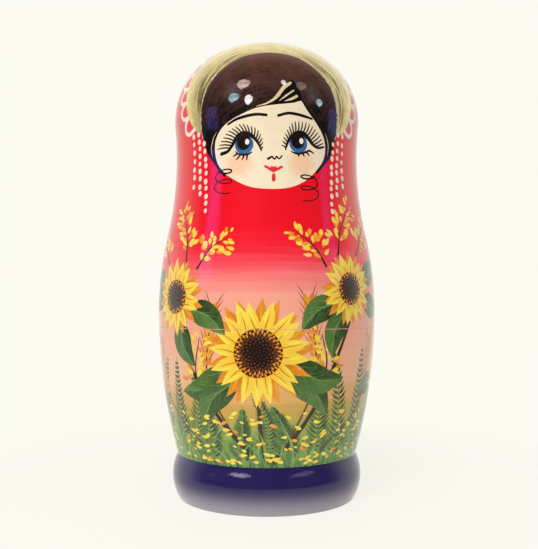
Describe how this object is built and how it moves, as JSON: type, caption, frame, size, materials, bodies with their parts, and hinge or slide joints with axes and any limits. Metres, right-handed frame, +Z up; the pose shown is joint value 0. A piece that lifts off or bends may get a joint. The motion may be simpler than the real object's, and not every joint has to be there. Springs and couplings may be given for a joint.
{
  "type": "matryoshka nesting doll",
  "caption": "Round-headed turned wooden doll on a bulging plinth; it pulls apart at the waist, and a row of ever smaller dolls of the same shape nests inside it.",
  "frame": {"origin": "middle of the flat underside of the largest doll's plinth", "axes": "+Z up along the turning axis, the painted faces look along -Y"},
  "size_m": [0.1216, 0.1216, 0.25],
  "materials": {
    "upper_paint": "red gouache painting under clear gloss lacquer on linden; bare turned linden inside",
    "lower_paint": "peach, green and navy painting under clear gloss lacquer on linden; bare turned linden inside",
    "bare_linden": "bare turned linden, satin, with fine tool rings"
  },
  "bodies": {
    "doll_1_bottom_half": {"doll_1_bottom_half": "lower_paint"},
    "doll_1_top_half": {"doll_1_top_half": "upper_paint"},
    "doll_2_bottom_half": {"doll_2_bottom_half": "lower_paint"},
    "doll_2_top_half": {"doll_2_top_half": "upper_paint"},
    "doll_3_bottom_half": {"doll_3_bottom_half": "lower_paint"},
    "doll_3_top_half": {"doll_3_top_half": "upper_paint"},
    "doll_4_bottom_half": {"doll_4_bottom_half": "lower_paint"},
    "doll_4_top_half": {"doll_4_top_half": "upper_paint"},
    "doll_5_bottom_half": {"doll_5_bottom_half": "lower_paint"},
    "doll_5_top_half": {"doll_5_top_half": "upper_paint"},
    "doll_6_bottom_half": {"doll_6_bottom_half": "lower_paint"},
    "doll_6_top_half": {"doll_6_top_half": "upper_paint"},
    "doll_7_bottom_half": {"doll_7_bottom_half": "lower_paint"},
    "doll_7_top_half": {"doll_7_top_half": "upper_paint"},
    "doll_8_bottom_half": {"doll_8_bottom_half": "lower_paint"},
    "doll_8_top_half": {"doll_8_top_half": "upper_paint"},
    "doll_9_bottom_half": {"doll_9_bottom_half": "lower_paint"},
    "doll_9_top_half": {"doll_9_top_half": "upper_paint"},
    "doll_10_solid": {"doll_10_solid": "upper_paint"}
  },
  "joints": [
    {"name": "doll_1_top_lift", "type": "slide", "parent": "doll_1_bottom_half", "child": "doll_1_top_half", "axis": [0, 0, 1], "range_m": [0, 1.0798]},
    {"name": "doll_2_bottom_lift", "type": "slide", "parent": "doll_1_bottom_half", "child": "doll_2_bottom_half", "axis": [0, 0, 1], "range_m": [0, 0.09]},
    {"name": "doll_2_top_lift", "type": "slide", "parent": "doll_2_bottom_half", "child": "doll_2_top_half", "axis": [0, 0, 1], "range_m": [0, 0.8391]},
    {"name": "doll_3_bottom_lift", "type": "slide", "parent": "doll_2_bottom_half", "child": "doll_3_bottom_half", "axis": [0, 0, 1], "range_m": [0, 0.073]},
    {"name": "doll_3_top_lift", "type": "slide", "parent": "doll_3_bottom_half", "child": "doll_3_top_half", "axis": [0, 0, 1], "range_m": [0, 0.6439]},
    {"name": "doll_4_bottom_lift", "type": "slide", "parent": "doll_3_bottom_half", "child": "doll_4_bottom_half", "axis": [0, 0, 1], "range_m": [0, 0.0592]},
    {"name": "doll_4_top_lift", "type": "slide", "parent": "doll_4_bottom_half", "child": "doll_4_top_half", "axis": [0, 0, 1], "range_m": [0, 0.4856]},
    {"name": "doll_5_bottom_lift", "type": "slide", "parent": "doll_4_bottom_half", "child": "doll_5_bottom_half", "axis": [0, 0, 1], "range_m": [0, 0.048]},
    {"name": "doll_5_top_lift", "type": "slide", "parent": "doll_5_bottom_half", "child": "doll_5_top_half", "axis": [0, 0, 1], "range_m": [0, 0.3573]},
    {"name": "doll_6_bottom_lift", "type": "slide", "parent": "doll_5_bottom_half", "child": "doll_6_bottom_half", "axis": [0, 0, 1], "range_m": [0, 0.0389]},
    {"name": "doll_6_top_lift", "type": "slide", "parent": "doll_6_bottom_half", "child": "doll_6_top_half", "axis": [0, 0, 1], "range_m": [0, 0.2533]},
    {"name": "doll_7_bottom_lift", "type": "slide", "parent": "doll_6_bottom_half", "child": "doll_7_bottom_half", "axis": [0, 0, 1], "range_m": [0, 0.0315]},
    {"name": "doll_7_top_lift", "type": "slide", "parent": "doll_7_bottom_half", "child": "doll_7_top_half", "axis": [0, 0, 1], "range_m": [0, 0.1689]},
    {"name": "doll_8_bottom_lift", "type": "slide", "parent": "doll_7_bottom_half", "child": "doll_8_bottom_half", "axis": [0, 0, 1], "range_m": [0, 0.0256]},
    {"name": "doll_8_top_lift", "type": "slide", "parent": "doll_8_bottom_half", "child": "doll_8_top_half", "axis": [0, 0, 1], "range_m": [0, 0.1005]},
    {"name": "doll_9_bottom_lift", "type": "slide", "parent": "doll_8_bottom_half", "child": "doll_9_bottom_half", "axis": [0, 0, 1], "range_m": [0, 0.0207]},
    {"name": "doll_9_top_lift", "type": "slide", "parent": "doll_9_bottom_half", "child": "doll_9_top_half", "axis": [0, 0, 1], "range_m": [0, 0.045]},
    {"name": "doll_10_lift", "type": "slide", "parent": "doll_9_bottom_half", "child": "doll_10_solid", "axis": [0, 0, 1], "range_m": [0, 0.0168]}
  ],
  "couplings": [
    {"joint": "doll_2_bottom_lift", "follows": "doll_1_top_lift", "ratio": 0.083349},
    {"joint": "doll_2_top_lift", "follows": "doll_1_top_lift", "ratio": 0.77709},
    {"joint": "doll_3_bottom_lift", "follows": "doll_1_top_lift", "ratio": 0.067605},
    {"joint": "doll_3_top_lift", "follows": "doll_1_top_lift", "ratio": 0.59631},
    {"joint": "doll_4_bottom_lift", "follows": "doll_1_top_lift", "ratio": 0.054825},
    {"joint": "doll_4_top_lift", "follows": "doll_1_top_lift", "ratio": 0.44971},
    {"joint": "doll_5_bottom_lift", "follows": "doll_1_top_lift", "ratio": 0.044453},
    {"joint": "doll_5_top_lift", "follows": "doll_1_top_lift", "ratio": 0.33089},
    {"joint": "doll_6_bottom_lift", "follows": "doll_1_top_lift", "ratio": 0.036025},
    {"joint": "doll_6_top_lift", "follows": "doll_1_top_lift", "ratio": 0.23458},
    {"joint": "doll_7_bottom_lift", "follows": "doll_1_top_lift", "ratio": 0.029172},
    {"joint": "doll_7_top_lift", "follows": "doll_1_top_lift", "ratio": 0.15642},
    {"joint": "doll_8_bottom_lift", "follows": "doll_1_top_lift", "ratio": 0.023708},
    {"joint": "doll_8_top_lift", "follows": "doll_1_top_lift", "ratio": 0.093073},
    {"joint": "doll_9_bottom_lift", "follows": "doll_1_top_lift", "ratio": 0.01917},
    {"joint": "doll_9_top_lift", "follows": "doll_1_top_lift", "ratio": 0.041674},
    {"joint": "doll_10_lift", "follows": "doll_1_top_lift", "ratio": 0.015558}
  ]
}
